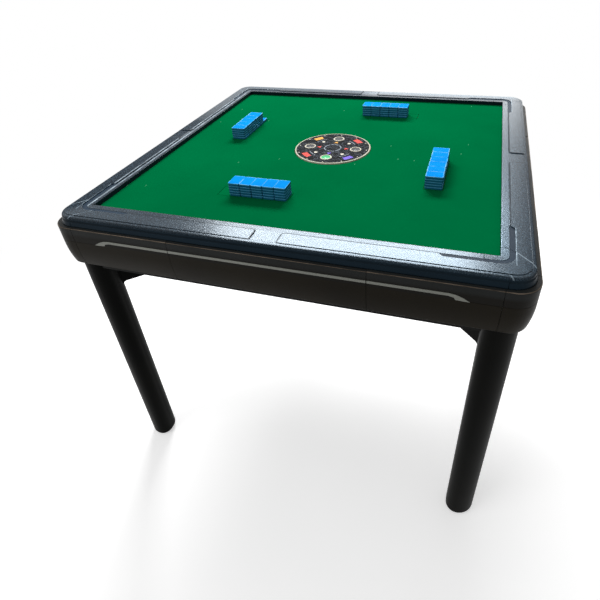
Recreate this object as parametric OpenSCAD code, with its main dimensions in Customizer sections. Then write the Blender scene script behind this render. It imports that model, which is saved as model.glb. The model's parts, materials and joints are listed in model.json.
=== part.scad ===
// Machine okey table: a square four-legged game table whose playing field hides
// a shuffling machine, four tile lifts, a rising centre console and four drawers.
// Millimetres. The origin is on the floor under the middle of the table, +Z is up
// and the front of the table faces -Y.

/* [Table] */
// Height of the rim's pads above the floor
table_h = 770; // [740:1:800]
// Width across the outer top edge of the rim
rim_w = 956; // [950:1:964]
// Width of the rim, from its outer top edge to the opening
rim_band = 58; // [56:0.5:62]
// Depth of the felt below the rim's pads
felt_drop = 12; // [10:0.5:14]

/* [Rim] */
// Height of the rim from its lower edge to its pads
rim_h = 23; // [21:0.5:26]
// Radius of the rim's outer corners
rim_corner_r = 38; // [32:1:44]
// Width of the plain lip round the opening
lip_w = 14.5; // [13:0.5:16]
// Radius of the lip's outer corners
lip_corner_r = 18; // [10:1:22]
// Height of the pads above the lip
pad_step = 1.5; // [0.8:0.1:2]
// Width of the shadow lines round the pads
line_w = 1; // [0.6:0.1:1.4]
// Depth of the shadow lines
line_d = 1.2; // [0.6:0.1:1.6]
// Width of the smoked inlay round each corner
inlay_w = 10; // [7:0.5:12]
// Length of an inlay's arm, back from the corner of the opening
inlay_arm = 104; // [80:1:140]
// Width of the rounded bead outside the pads
bead_w = 8; // [6:0.5:10]
// How much wider the rim is at its lower edge, on each side
rim_flare = 4; // [2:0.5:5]
// Width of the bridge between the two pads of a side
bridge_w = 54; // [40:1:80]
// Distance from the corner of the opening back to the corner seam
seam_back = 27; // [20:1:34]
// Wall of the moulded rim
rim_wall = 3; // [2:0.25:4]

/* [Skirt] */
// How far the skirt stands out past the rim's top edge
ledge_w = 12; // [10:0.5:17]
// Height of the skirt
skirt_h = 95; // [90:1:105]
// Radius of the skirt's corners
skirt_corner_r = 44; // [40:1:50]
// How far the skirt's lower edge is tucked in
skirt_tuck = 7; // [3:0.5:9]
// Height of the upright upper part of the skirt
skirt_flat_h = 45; // [40:1:60]
// Wall of the moulded skirt
skirt_wall = 3; // [2:0.25:4]
// Width of each corner moulding, back from the skirt's face
skirt_corner_w = 58; // [54:1:66]
// Visible gap between neighbouring mouldings
seam_gap = 0.8; // [0.4:0.1:1.2]
// Height of the satin strip
strip_h = 5.5; // [4:0.5:7]
// Distance from the skirt's top edge down to the strip
strip_drop = 19; // [14:0.5:24]
// Distance from the strip's tip to the corner moulding
strip_end_gap = 52; // [32:1:82]
// Length of the leaf at the strip's end
leaf_l = 36; // [30:1:46]
// How far the leaf's tip drops below the strip's top edge
leaf_drop = 13; // [11:0.5:16]
// Height of the crease that joins the leaves round a corner
crease_h = 0.8; // [0.5:0.1:1.2]
// Depth of the crease
crease_d = 0.5; // [0.3:0.1:0.8]
// How far the strip stands proud of the skirt
strip_proud = 0.8; // [0.4:0.1:1.2]

/* [Drawers] */
// Width of a drawer front
drawer_w = 404; // [370:1:420]
// How much narrower a tray is than its front, on each side
tray_inset = 14; // [12:0.5:32]
// Depth of a drawer tray behind its front
tray_depth = 135; // [110:1:138]
// Height of a drawer tray
tray_h = 67; // [40:1:70]
// Wall of a drawer tray
tray_wall = 2.5; // [2:0.25:4]
// How far a drawer pulls out
drawer_travel = 95; // [70:1:98]

/* [Chassis and legs] */
// Distance from the skirt's face back to the steel chassis
chassis_inset = 22; // [21:0.5:23]
// How far the chassis shows below the skirt
chassis_show = 18; // [14:1:24]
// Thickness of the chassis sheet
sheet_t = 2.5; // [2:0.25:3]
// Width of a leg
leg_w = 66; // [60:1:70]
// Radius of a leg's outer corner, below the corner of the skirt
leg_outer_r = 40; // [36:1:44]
// Radius of a leg's inner corner
leg_inner_r = 30; // [16:1:34]
// Radius of a leg's lower edge
leg_foot_r = 9; // [4:0.5:12]
// Distance from the skirt's face to a leg's outer face
leg_inset = 15; // [14:1:18]
// Height of the bracket that braces a leg towards the middle of the table
bracket_h = 72; // [50:1:100]
// Reach of the bracket's lower edge from the leg's axis, along each side
bracket_reach = 68; // [50:1:90]
// Thickness of the bracket
bracket_t = 20; // [12:1:30]
// Diameter of the bolts that hold a leg
bolt_d = 8; // [6:0.5:8]
// Height of the rubber glide below a leg
glide_h = 4; // [3:0.5:8]
// Diameter of a rubber glide
glide_d = 36; // [28:1:40]

/* [Playing field] */
// Thickness of the top board
board_t = 12; // [9:0.5:14]
// Thickness of the felt
felt_t = 2; // [1.5:0.1:3]
// Distance from the edge of the opening to the middle of a tile row
row_inset = 140; // [136:1:144]
// Distance from the centre line of a side to the first tile of its row
row_start = 18; // [16:1:22]
// Gap between a lift and the edge of its opening
lift_gap = 1; // [0.6:0.1:1.5]

/* [Tiles] */
// Width of a tile
tile_w = 26.7; // [25:0.1:26.9]
// Length of a tile
tile_l = 38.5; // [36:0.5:40]
// Thickness of a tile
tile_t = 6; // [5:0.1:6]
// Distance between neighbouring tiles of a row
tile_pitch = 27; // [27:0.1:27.5]
// Distance between the layers of a stack
layer_pitch = 6.1; // [6.1:0.05:6.3]
// Radius of a tile's corners
tile_r = 3; // [1:0.5:5]

/* [Lifts] */
// Travel of a tile lift
lift_travel = 46; // [44:1:50]
// Radius of a lift's guide posts
post_r = 4; // [3:0.5:5]
// Radial gap between parts that slide or turn on each other
running_gap = 0.3; // [0.25:0.05:0.4]

/* [Console] */
// Diameter of the centre console
console_d = 198; // [190:1:204]
// Gap between the console and the edge of its hole
console_gap = 1.5; // [1:0.1:2.5]
// How far the console's panel stands above the felt
console_proud = 2; // [1:0.1:3]
// Rise of the console
console_travel = 60; // [50:1:64]
// Radius of the console's column
column_r = 33.7; // [30:0.1:35]
// Diameter of a key
key_d = 30; // [24:0.5:34]
// Distance from the middle of the console to a key
key_dist = 62; // [56:1:68]
// Travel of a key
key_travel = 1.5; // [1:0.1:1.8]

/* [Shuffling machine] */
// Distance from the turntable's edge to the lifts
bowl_gap = 27.5; // [24:0.5:45]
// Height of the turntable's disc above the machine floor
turntable_rise = 28; // [26:0.5:34]
// Radius of the belt groove under the turntable
hub_r = 50; // [48:1:60]
// Radius of the motor pulley's belt groove
pulley_r = 12; // [10:0.5:16]
// Radius of the shuffle motor
motor_r = 38; // [30:1:42]
// Length of the shuffle motor
motor_h = 60; // [50:1:64]
// Thickness of the drive belt
belt_t = 2; // [1.5:0.25:3]
// Height of the drive belt
belt_h = 8; // [6:0.5:10]

/* [Control box] */
// Width of the control box
box_w = 120; // [110:1:130]
// Depth of the control box
box_l = 90; // [80:1:100]
// Height of the control box
box_h = 46; // [40:1:60]
// Distance from the corner pocket of the chassis to the control box's axis
box_clear = 67; // [64:1:80]

/* [Hidden] */

// Every side of the table is drawn as the right-hand one and turned to its place.
RIGHT = 0;
BACK = 90;
LEFT = 180;
FRONT = 270;
SIDES = [RIGHT, BACK, LEFT, FRONT];

$fn = 64;
tiny = 0.01;

// Half widths, measured from the centre of the table
rim_half = rim_w / 2;
open_half = rim_half - rim_band;
lip_half = open_half + lip_w;
pad_in = lip_half + line_w;
inlay_half = lip_half + inlay_w;
pad_half = rim_half - bead_w;
skirt_half = rim_half + ledge_w;
chassis_half = skirt_half - chassis_inset;
leg_out = skirt_half - leg_inset;
leg_in = leg_out - leg_w;
leg_mid = leg_out - leg_w / 2;
pocket = leg_in - 12;
board_half = open_half + lip_w - 2.5;

// Heights above the floor
pad_z = table_h;
lip_z = pad_z - pad_step;
deck_z = lip_z - line_d - 2.5;
felt_z = pad_z - felt_drop;
board_z = felt_z - felt_t;
board_under = board_z - board_t;
ledge_z = pad_z - rim_h;
skirt_z = ledge_z - skirt_h;
chassis_z = skirt_z - chassis_show;
chassis_top = skirt_z + 12;
floor_z = chassis_z + sheet_t;
machine_z = floor_z + 2;

// Rim seams
seam_lip_y = open_half - seam_back;
seam_edge_y = seam_lip_y + 42;
seam_edge_u = lip_half + 38;

// Chassis
flange_w = 30;
rail_end = leg_in - 0.3;
wall_half = chassis_half - 14;

// Drawers
tray_half = drawer_w / 2 - tray_inset;
tray_z = chassis_top + 4;
tray_front = chassis_half + 5;
tray_back = tray_front - tray_depth;
rail_z = tray_z + 22;
rail_t = 3;
rail_out = 9;
stop_x = wall_half - sheet_t - drawer_travel - 0.5;
slot_gap = 0.6;
drawer_clear = 0.8;

// Tile rows and lifts
columns = 6;
layers = 5;
row_dist = open_half - row_inset;
row_len = columns * tile_pitch;
row_mid = row_start + row_len / 2;
lift_len = row_len + 4;
lift_w = tile_l + 2.5;
ear_out = 10;
ear_h = 14;
ear_r = 7;
post_off = lift_len / 2 + ear_out;
lift_motor_r = 8;
lift_low = board_under - lift_travel;
channel_z = felt_z - lift_travel;
channel_start = -row_start + 14 + ear_out;
channel_len = 210;
channel_end = channel_start + channel_len;

// Console
console_r = console_d / 2;
hole_r = console_r + console_gap;
panel_z = felt_z + console_proud;
panel_t = 5;
cup_z = panel_z - panel_t - 4;
flange_t = 4;
key_r = key_d / 2;
guide_in = column_r + running_gap;
guide_out = guide_in + 3.5;
guide_top = cup_z - flange_t - 12;
column_foot = machine_z + 8;
ram_r = 6;
ram_case_top = column_foot + console_travel + 14;

// Shuffling machine
turntable_r = row_dist - lift_w / 2 - bowl_gap;
disc_z = machine_z + turntable_rise;
disc_t = 4;
hub_z = disc_z - 14;
belt_z = hub_z + 3;
bowl_r = turntable_r + 4;
bowl_h = 36;
motor_z = disc_z + 2;
motor_flange_r = motor_r + 8;
motor_at = channel_end + motor_flange_r + 21;
motor_dist = motor_at * sqrt(2);

// Straight and rounded plan shapes

module round_square(half, r) {
  square([2 * half, 2 * (half - r)], center = true);
  square([2 * (half - r), 2 * half], center = true);
  for (sx = [-1, 1], sy = [-1, 1])
    translate([sx * (half - r), sy * (half - r)]) circle(r = r);
}

// A quarter of a rounded square, from the middle of the table outwards
module corner_square(half, r, from) {
  intersection() {
    round_square(half, r);
    translate([from, from]) square(2 * half);
  }
}

// A slab between two heights
module slab(low, high) {
  translate([0, 0, low]) linear_extrude(high - low) children();
}

// Runs an upright profile along one side, from y1 to y2
module run_along(y1, y2) {
  translate([0, y2, 0]) rotate([90, 0, 0]) linear_extrude(y2 - y1) children();
}

// Turns an upright profile round one corner of a square, about the corner's centre
module turn_corner(centre) {
  translate([centre, centre, 0])
    rotate_extrude(angle = 90) translate([-centre, 0]) children();
}

// A box given by its low and high corners
module block(low, high) {
  translate(low) cube(high - low);
}

function arc_points(cx, cy, r, from, to, steps) =
  [for (i = [0:steps]) let (a = from + (to - from) * i / steps) [cx + r * cos(a), cy + r * sin(a)]];

// Rim

bead_r = bead_w - line_w;
bead_top = lip_z + 0.4;

// The outer part of the rim: the shadow line, the bead and the flared side
module rim_edge_profile() {
  polygon(concat(
    [[pad_half - 4, deck_z], [pad_half - 4, lip_z - line_d], [pad_half + line_w, lip_z - line_d]],
    arc_points(rim_half - bead_r, bead_top - bead_r, bead_r, 90, 0, 8),
    [
      [rim_half + rim_flare, ledge_z + 2],
      [rim_half + rim_flare, ledge_z],
      [rim_half + rim_flare - rim_wall, ledge_z],
      [rim_half - rim_wall, bead_top - bead_r],
      [rim_half - rim_wall - 3, deck_z]
    ]
  ));
}

// Plan of a side moulding: square across the lip, slanted across the pads
module side_zone(grow) {
  a = seam_lip_y + grow;
  b = seam_edge_y + grow;
  polygon([
    [open_half - 1, -a], [lip_half, -a], [seam_edge_u, -b], [skirt_half, -b],
    [skirt_half, b], [seam_edge_u, b], [lip_half, a], [open_half - 1, a]
  ]);
}

// Plan of one raised pad of a side; its end by the bridge is rounded,
// and it steps back beside the corner inlay
module side_pad(grow) {
  end = bridge_w / 2 - grow;
  inner = pad_in - grow;
  back = inlay_half - grow;
  slant_y = open_half - inlay_arm;
  round_r = 8;
  polygon(concat(
    arc_points(inner + round_r, end + round_r, round_r, 180, 270, 6),
    [
      [pad_half + grow, end],
      [pad_half + grow, seam_edge_y + 5],
      [back, seam_edge_y + 5],
      [back, slant_y + inlay_w],
      [inner, slant_y]
    ]
  ));
}

module both_ways() {
  children();
  mirror([0, 1, 0]) children();
}

// Plan of the inlay's arm beside a side's pad
module side_inlay(grow) {
  slant_y = open_half - inlay_arm;
  gap = line_w / 2;
  polygon([
    [lip_half + gap, slant_y + line_w],
    [inlay_half - gap, slant_y + inlay_w + line_w],
    [inlay_half - gap, seam_edge_y],
    [lip_half + gap, seam_edge_y]
  ]);
}

module rim_rib(y) {
  block([lip_half - 1, y - 1.25, ledge_z], [rim_half - rim_wall - 1, y + 1.25, deck_z]);
}

module rim_side(angle) {
  color([0.22, 0.25, 0.29])
    rotate(angle) {
      difference() {
        intersection() {
          union() {
            run_along(-seam_edge_y - 5, seam_edge_y + 5) rim_edge_profile();
            block([open_half, -seam_edge_y - 5, deck_z], [pad_half, seam_edge_y + 5, lip_z]);
            block([open_half, -seam_edge_y - 5, felt_z], [lip_half - 1, seam_edge_y + 5, deck_z]);
            both_ways() slab(deck_z, pad_z) side_pad(0);
          }
          slab(ledge_z - 1, pad_z + 1) side_zone(0);
        }
        both_ways() slab(lip_z - line_d, pad_z + 1) difference() {
          side_pad(line_w);
          side_pad(0);
        }
        both_ways() slab(lip_z - line_d, pad_z + 1) side_inlay_bed();
      }
      for (i = [-3:3])
        rim_rib(i * seam_lip_y / 3.2);
    }
}

// The bed that an inlay lies in, between the lip and the stepped-back pad
module side_inlay_bed() {
  slant_y = open_half - inlay_arm;
  polygon([
    [lip_half, slant_y],
    [inlay_half, slant_y + inlay_w],
    [inlay_half, seam_edge_y + 5],
    [lip_half, seam_edge_y + 5]
  ]);
}

module rim_corner() {
  centre = rim_half - rim_corner_r;
  from = open_half - seam_back - 1;
  difference() {
    union() {
      turn_corner(centre) rim_edge_profile();
      run_along(from, centre) rim_edge_profile();
      mirror([1, -1, 0]) run_along(from, centre) rim_edge_profile();
      slab(deck_z, pad_z) corner_square(pad_half, rim_corner_r - bead_w, from);
      slab(felt_z, deck_z) corner_square(lip_half - 1, lip_corner_r - 1, from);
    }
    slab(felt_z - 1, pad_z + 1) square([2 * open_half, 2 * open_half], center = true);
    slab(lip_z, pad_z + 1) round_square(lip_half, lip_corner_r);
    slab(lip_z - line_d, pad_z + 1) difference() {
      round_square(inlay_half, lip_corner_r + inlay_w);
      round_square(lip_half, lip_corner_r);
    }
    for (side = [RIGHT, BACK])
      rotate(side) slab(ledge_z - 1, pad_z + 1) side_zone(seam_gap / 2 + 0.2);
  }
}

module rim_corners() {
  color([0.22, 0.25, 0.29])
    for (side = SIDES)
      rotate(side) rim_corner();
}

module rim_inlays() {
  gap = line_w / 2;
  low = lip_z - line_d;
  high = lip_z - 0.3;
  color([0.08, 0.09, 0.11])
    for (side = SIDES)
      rotate(side) {
        both_ways() slab(low, high) intersection() {
          side_inlay(0);
          side_zone(-0.3);
        }
        slab(low, high) difference() {
          corner_square(inlay_half - gap, lip_corner_r + inlay_w - gap, seam_lip_y);
          round_square(lip_half + gap, lip_corner_r + gap);
          side_zone(seam_gap / 2 + 0.5);
          rotate(90) side_zone(seam_gap / 2 + 0.5);
        }
      }
}

// Skirt

skirt_top_r = 2;
skirt_low_r = 4;
strip_reach = skirt_half - skirt_corner_w - strip_end_gap;

// Distance of the skirt's face from the centre, at a depth below its top edge
function skirt_face(depth) =
  skirt_half - skirt_tuck * pow(max(0, depth - skirt_flat_h) / (skirt_h - skirt_flat_h), 2);

skirt_steps = 8;
function skirt_depths(from, to) =
  [for (i = [0:skirt_steps]) from + (to - from) * i / skirt_steps];

// Outline of the skirt from its flange, over the ledge and down to the tucked-in edge
module skirt_profile(low_in) {
  low = skirt_h - skirt_low_r;
  face_low = skirt_face(low);
  flange_in = chassis_half - 6;
  polygon(concat(
    [[flange_in, ledge_z]],
    arc_points(skirt_half - skirt_top_r, ledge_z - skirt_top_r, skirt_top_r, 90, 0, 4),
    [for (d = skirt_depths(skirt_flat_h, low)) [skirt_face(d), ledge_z - d]],
    arc_points(face_low - skirt_low_r, skirt_z + skirt_low_r, skirt_low_r, 0, -90, 5),
    [[low_in, skirt_z], [low_in, skirt_z + skirt_wall]],
    [for (d = skirt_depths(skirt_h - skirt_wall, skirt_flat_h)) [skirt_face(d) - skirt_wall, ledge_z - d]],
    [[skirt_half - skirt_wall, ledge_z - skirt_wall], [flange_in, ledge_z - skirt_wall]]
  ));
}

// Elevation of the strip's end: it bends down into a leaf with a sharp tip,
// and the leaf's underside has a small hook where it leaves the strip
module strip_end(from, grow) {
  top = ledge_z - strip_drop;
  bend = strip_reach - leaf_l;
  polygon([
    [from, top + grow],
    [bend, top + grow],
    [bend + leaf_l / 3, top - leaf_drop * 0.12 + grow],
    [bend + leaf_l * 2 / 3, top - leaf_drop * 0.46 + grow],
    [strip_reach + grow, top - leaf_drop],
    [strip_reach - leaf_l * 0.3, top - leaf_drop - grow],
    [strip_reach - leaf_l * 0.66, top - leaf_drop * 0.94 - grow],
    [strip_reach - leaf_l * 0.74, top - leaf_drop * 0.6 - grow],
    [bend, top - strip_h - grow],
    [from, top - strip_h - grow]
  ]);
}

// Stands an elevation drawn in (y, z) up against the side's face, between two depths
module on_face(low, high) {
  translate([low, 0, 0]) rotate([90, 0, 90]) linear_extrude(high - low) children();
}

strip_bed = 1.2;
strip_fit = 0.15;

// The crease in the skirt's face, on from the leaf's tip
module crease_profile() {
  middle = ledge_z - strip_drop - leaf_drop;
  translate([skirt_half - crease_d, middle - crease_h / 2]) square([skirt_wall, crease_h]);
}

// One side panel, between the drawer and the corner moulding
module skirt_panel() {
  y1 = drawer_w / 2 + seam_gap / 2;
  y2 = skirt_half - skirt_corner_w - seam_gap / 2;
  difference() {
    run_along(y1, y2) skirt_profile(chassis_half);
    on_face(skirt_half - strip_bed, skirt_half + 1) strip_end(y1 - 1, strip_fit);
    run_along(strip_reach - 2, y2 + 1) crease_profile();
  }
  // Screw tabs that hold the panel to the machine's wall
  for (y = [y1 + 20, y2 - 20])
    block(
      [wall_half, y - 12, ledge_z - skirt_wall - 12],
      [skirt_half - skirt_wall, y + 12, ledge_z - skirt_wall - 9]
    );
}

module skirt_side(angle) {
  color([0.13, 0.12, 0.105])
    rotate(angle) both_ways() skirt_panel();
}

module skirt_corner() {
  from = skirt_half - skirt_corner_w + seam_gap / 2;
  centre = skirt_half - skirt_corner_r;
  difference() {
    union() {
      turn_corner(centre) skirt_profile(chassis_half);
      run_along(from, centre) skirt_profile(chassis_half);
      mirror([1, -1, 0]) run_along(from, centre) skirt_profile(chassis_half);
    }
    turn_corner(centre) crease_profile();
    run_along(from - 1, centre) crease_profile();
    mirror([1, -1, 0]) run_along(from - 1, centre) crease_profile();
  }
}

module skirt_corners() {
  color([0.13, 0.12, 0.105])
    for (side = SIDES)
      rotate(side) skirt_corner();
}

module skirt_strips() {
  color([0.5, 0.5, 0.47])
    for (side = SIDES)
      rotate(side) both_ways()
        on_face(skirt_half - strip_bed, skirt_half + strip_proud)
          strip_end(drawer_w / 2 + seam_gap, 0);
}

// Drawers

module drawer(angle) {
  half = drawer_w / 2 - seam_gap / 2;
  web_pitch = tray_half * 0.53;
  strip_top = ledge_z - strip_drop;
  color([0.13, 0.12, 0.105])
    rotate(angle) {
      difference() {
        run_along(-half, half) skirt_profile(chassis_half + 3);
        block([0, -half - 1, ledge_z - drawer_clear], [skirt_half + 1, half + 1, ledge_z + 1]);
        block(
          [skirt_half - strip_bed, -half - 1, strip_top - strip_h - strip_fit],
          [skirt_half + 1, half + 1, strip_top + strip_fit]
        );
      }
      difference() {
        block([tray_back, -tray_half, tray_z], [tray_front, tray_half, tray_z + tray_h]);
        block(
          [tray_back + tray_wall, tray_wall - tray_half, tray_z + tray_wall],
          [tray_front - tray_wall, tray_half - tray_wall, tray_z + tray_h + 1]
        );
      }
      // Side lips that run in the runners
      both_ways()
        block([tray_back, tray_half - 1, rail_z], [tray_front, tray_half + rail_out, rail_z + rail_t]);
      // Ears that stop against the machine's wall when the drawer is open
      both_ways()
        block([stop_x - 3, tray_half - 1, tray_z + 40], [stop_x, tray_half + rail_out + 9, tray_z + 60]);
      // Webs between the tray and its moulded front
      for (i = [-1.5:1:1.5])
        block(
          [tray_front - 1, i * web_pitch - 1.5, tray_z + 6],
          [skirt_half - skirt_wall, i * web_pitch + 1.5, rail_z + 34]
        );
    }
}

module drawer_strip(angle) {
  half = drawer_w / 2 - seam_gap;
  top = ledge_z - strip_drop;
  color([0.5, 0.5, 0.47])
    rotate(angle)
      block([skirt_half - strip_bed, -half, top - strip_h], [skirt_half + strip_proud, half, top]);
}

module drawer_runners() {
  inner = tray_half + slot_gap;
  outer = tray_half + rail_out + slot_gap + 2.5;
  color([0.7, 0.71, 0.73])
    for (side = SIDES)
      rotate(side) both_ways()
        difference() {
          block([tray_back + 2, inner, rail_z - 5], [wall_half - sheet_t, outer, rail_z + rail_t + 5]);
          block(
            [tray_back, inner - 1, rail_z - slot_gap],
            [wall_half + 1, outer - 2.5, rail_z + rail_t + slot_gap]
          );
        }
}

// Chassis, legs and feet

module corner_places() {
  for (side = SIDES)
    rotate(side) children();
}

bolt_r = bolt_d / 2;
bolt_l = bolt_d * 4.5;
bolt_spread = bolt_d * 1.5;

module bolt_places() {
  for (sx = [-1, 1], sy = [-1, 1])
    translate([leg_mid + sx * bolt_spread, leg_mid + sy * bolt_spread, 0]) children();
}

module chassis_frame() {
  outer_r = chassis_half - (skirt_half - skirt_corner_r);
  color([0.06, 0.06, 0.065])
    difference() {
      union() {
        // Upper web and its flange run all the way round
        slab(skirt_z, chassis_top) difference() {
          round_square(chassis_half, outer_r);
          round_square(chassis_half - sheet_t, outer_r - sheet_t);
        }
        slab(chassis_top - sheet_t, chassis_top) difference() {
          round_square(chassis_half, outer_r);
          square(2 * (chassis_half - flange_w), center = true);
        }
        corner_places() {
          // Lower web and flange stop at the legs
          block([chassis_half - sheet_t, -rail_end, chassis_z], [chassis_half, rail_end, skirt_z + 1]);
          block([chassis_half - flange_w, -rail_end, chassis_z], [chassis_half, rail_end, floor_z]);
          // Plate on top of the leg
          slab(skirt_z, skirt_z + sheet_t) corner_square(chassis_half, outer_r, pocket);
          // Upright sides of the corner pocket
          block([pocket, pocket, skirt_z], [pocket + sheet_t, chassis_half - 2, chassis_top]);
          block([pocket, pocket, skirt_z], [chassis_half - 2, pocket + sheet_t, chassis_top]);
        }
      }
      corner_places() bolt_places()
        translate([0, 0, skirt_z - 1]) cylinder(r = bolt_r + 0.5, h = sheet_t + 2, $fn = 32);
    }
}

module base_pan() {
  pan_half = chassis_half - 6;
  vent_x = wall_half - 104;
  vent_l = 70;
  vent_pitch = 12;
  color([0.1, 0.1, 0.105])
    difference() {
      slab(floor_z, machine_z) square(2 * pan_half, center = true);
      corner_places()
        block([rail_end - 14, rail_end - 14, floor_z - 1], [chassis_half, chassis_half, machine_z + 1]);
      // Cooling slots beside the motor and behind the control box
      for (side = [RIGHT, LEFT], i = [0:6])
        rotate(side) translate([vent_x, channel_end - 37 + i * vent_pitch, 0])
          block([-vent_l / 2, -2.5, floor_z - 1], [vent_l / 2, 2.5, machine_z + 1]);
      // Window for the control box's foot
      block(
        [box_x - foot_w / 2, box_y - foot_l / 2, floor_z - 1],
        [box_x + foot_w / 2, box_y + foot_l / 2, machine_z + 1]
      );
    }
}

module inner_wall() {
  open_w = tray_half + rail_out + 3;
  difference() {
    union() {
      block(
        [wall_half - sheet_t, -wall_half, chassis_top],
        [wall_half, wall_half - sheet_t - 0.4, board_under]
      );
      block(
        [board_half - 10, -board_half + 12, board_under - sheet_t],
        [wall_half, board_half - 12, board_under]
      );
    }
    block([wall_half - sheet_t - 1, -open_w, tray_z - 1.2], [wall_half + 1, open_w, tray_z + tray_h + 2]);
  }
}

module inner_frame() {
  color([0.62, 0.63, 0.65])
    for (side = SIDES)
      rotate(side) inner_wall();
}

// One upright corner of a leg, from its centre outwards; its lower edge is rounded
module leg_edge(x, y, r, turn) {
  translate([x, y, 0])
    rotate(turn) rotate_extrude(angle = 90)
      polygon(concat(
        [[0, skirt_z], [0, glide_h]],
        arc_points(r - leg_foot_r, glide_h + leg_foot_r, leg_foot_r, -90, 0, 6),
        [[r, skirt_z]]
      ));
}

// The corner under the skirt's corner is the roundest, and the two beside it start where it ends
module leg_column() {
  side_r = leg_w - leg_outer_r;
  outer = leg_out - leg_outer_r;
  far = leg_out - side_r;
  inner = leg_in + leg_inner_r;
  leg_edge(outer, outer, leg_outer_r, 0);
  leg_edge(outer, far, side_r, 90);
  leg_edge(far, outer, side_r, -90);
  leg_edge(inner, inner, leg_inner_r, 180);
  // Flat parts of the two inner faces
  for (turn = [0, 1])
    mirror([turn, -turn, 0])
      run_along(inner, far)
        polygon(concat(
          [[outer, skirt_z], [leg_in, skirt_z]],
          arc_points(leg_in + leg_foot_r, glide_h + leg_foot_r, leg_foot_r, 180, 270, 6),
          [[outer, glide_h]]
        ));
}

// Upright bracket that braces the leg diagonally towards the middle of the table.
// Its lower edge runs level from a rounded corner at the leg, then rises to the floor.
module leg_bracket() {
  low_z = chassis_z - bracket_h;
  corner_r = 10;
  at_leg = leg_w * 0.49;
  level_end = bracket_reach * sqrt(2);
  translate([leg_mid, leg_mid, 0]) rotate(225)
    run_along(-bracket_t / 2, bracket_t / 2)
      polygon(concat(
        [[0, floor_z], [0, low_z - corner_r]],
        arc_points(at_leg + corner_r, low_z - corner_r, corner_r, 180, 90, 5),
        [[level_end, low_z], [level_end + bracket_h / 2, floor_z]]
      ));
}

module leg(angle) {
  color([0.05, 0.05, 0.052])
    rotate(angle) {
      difference() {
        union() {
          leg_column();
          leg_bracket();
        }
        bolt_places() translate([0, 0, skirt_z - bolt_l - 4])
          cylinder(r = bolt_r + 0.15, h = bolt_l + 5, $fn = 32);
        translate([leg_mid, leg_mid, 0]) cylinder(d = glide_d + 0.4, h = glide_h + 5);
      }
    }
}

module leg_glides() {
  color([0.03, 0.03, 0.03])
    corner_places() translate([leg_mid, leg_mid, 0])
      rotate_extrude()
        polygon([
          [0, 0], [glide_d / 2 - 2, 0], [glide_d / 2, 2], [glide_d / 2, glide_h + 5], [0, glide_h + 5]
        ]);
}

module leg_bolts() {
  head_z = skirt_z + sheet_t;
  color([0.75, 0.76, 0.78])
    corner_places() bolt_places() {
      translate([0, 0, skirt_z - bolt_l]) cylinder(r = bolt_r, h = bolt_l + sheet_t + 1, $fn = 32);
      translate([0, 0, head_z]) cylinder(r = bolt_d * 0.94, h = bolt_d * 0.66, $fn = 6);
    }
}

// Playing field

// Plan of the hole that a lift rises through
module lift_hole(grow) {
  translate([row_dist - lift_w / 2 - grow, -row_mid - lift_len / 2 - grow])
    square([lift_w + 2 * grow, lift_len + 2 * grow]);
}

module field_plan() {
  difference() {
    square(2 * board_half, center = true);
    circle(r = hole_r, $fn = 96);
    for (side = SIDES)
      rotate(side) lift_hole(lift_gap);
  }
}

module table_board() {
  color([0.6, 0.48, 0.33]) slab(board_under, board_z) field_plan();
}

module playing_felt() {
  color([0, 0.42, 0.22]) slab(board_z, felt_z) field_plan();
}

// A tile lift: the felted board on a carriage. Its two ears run on the guide posts,
// and the gearmotor in the thicker ear walks up the toothed post.
module lift(angle) {
  color([0, 0.42, 0.22])
    rotate(angle)
      difference() {
        union() {
          slab(board_under, felt_z) lift_hole(0);
          for (end = [-1, 1])
            translate([row_dist, -row_mid + end * post_off, board_under - ear_h])
              cylinder(r = ear_r, h = ear_h - 1);
          block(
            [row_dist - 6, -row_mid - post_off, board_under - ear_h],
            [row_dist + 6, -row_mid + post_off, board_under - 1]
          );
          block(
            [row_dist - 6, -row_mid - lift_len / 2 + 2, board_under - 2],
            [row_dist + 6, -row_mid + lift_len / 2 - 2, board_under + 1]
          );
          translate([row_dist, -row_mid - post_off + ear_r, board_under - 1 - lift_motor_r])
            rotate([-90, 0, 0]) cylinder(r = lift_motor_r, h = 70);
        }
        for (end = [-1, 1])
          translate([row_dist, -row_mid + end * post_off, board_under - ear_h - 1])
            cylinder(r = post_r + running_gap, h = ear_h + 1);
      }
}

// Fixed part of a tile lift: a foot with two guide posts, one of them toothed
module lift_unit() {
  tooth_pitch = 4;
  block(
    [row_dist - 16, -row_mid - post_off - 8, machine_z],
    [row_dist + 16, -row_mid + post_off + 8, machine_z + 3]
  );
  for (end = [-1, 1])
    translate([row_dist, -row_mid + end * post_off, machine_z]) {
      cylinder(r = post_r + 3, h = 12);
      difference() {
        cylinder(r = post_r, h = board_under - machine_z);
        if (end == -1)
          for (z = [16:tooth_pitch:board_under - machine_z - 6])
            block([-post_r, post_r - 1, z], [post_r, post_r + 1, z + tooth_pitch / 2]);
      }
    }
}

module lift_units() {
  color([0.55, 0.56, 0.58])
    for (side = SIDES)
      rotate(side) lift_unit();
}

// Tiles

module tile_outline() {
  hw = tile_w / 2 - tile_r;
  hl = tile_l / 2 - tile_r;
  polygon(concat(
    arc_points(hl, hw, tile_r, 0, 90, 3),
    arc_points(-hl, hw, tile_r, 90, 180, 3),
    arc_points(-hl, -hw, tile_r, 180, 270, 3),
    arc_points(hl, -hw, tile_r, 270, 360, 3)
  ));
}

// Tiles stand a little out of line, as a machine leaves them
function tile_shift(column, layer) = 0.35 * sin(column * 97 + layer * 61);

module tile(column, layer) {
  translate([
    row_dist + tile_shift(column, layer),
    -row_start - (column + 0.5) * tile_pitch,
    felt_z + layer * layer_pitch
  ])
    linear_extrude(tile_t) tile_outline();
}

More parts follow.
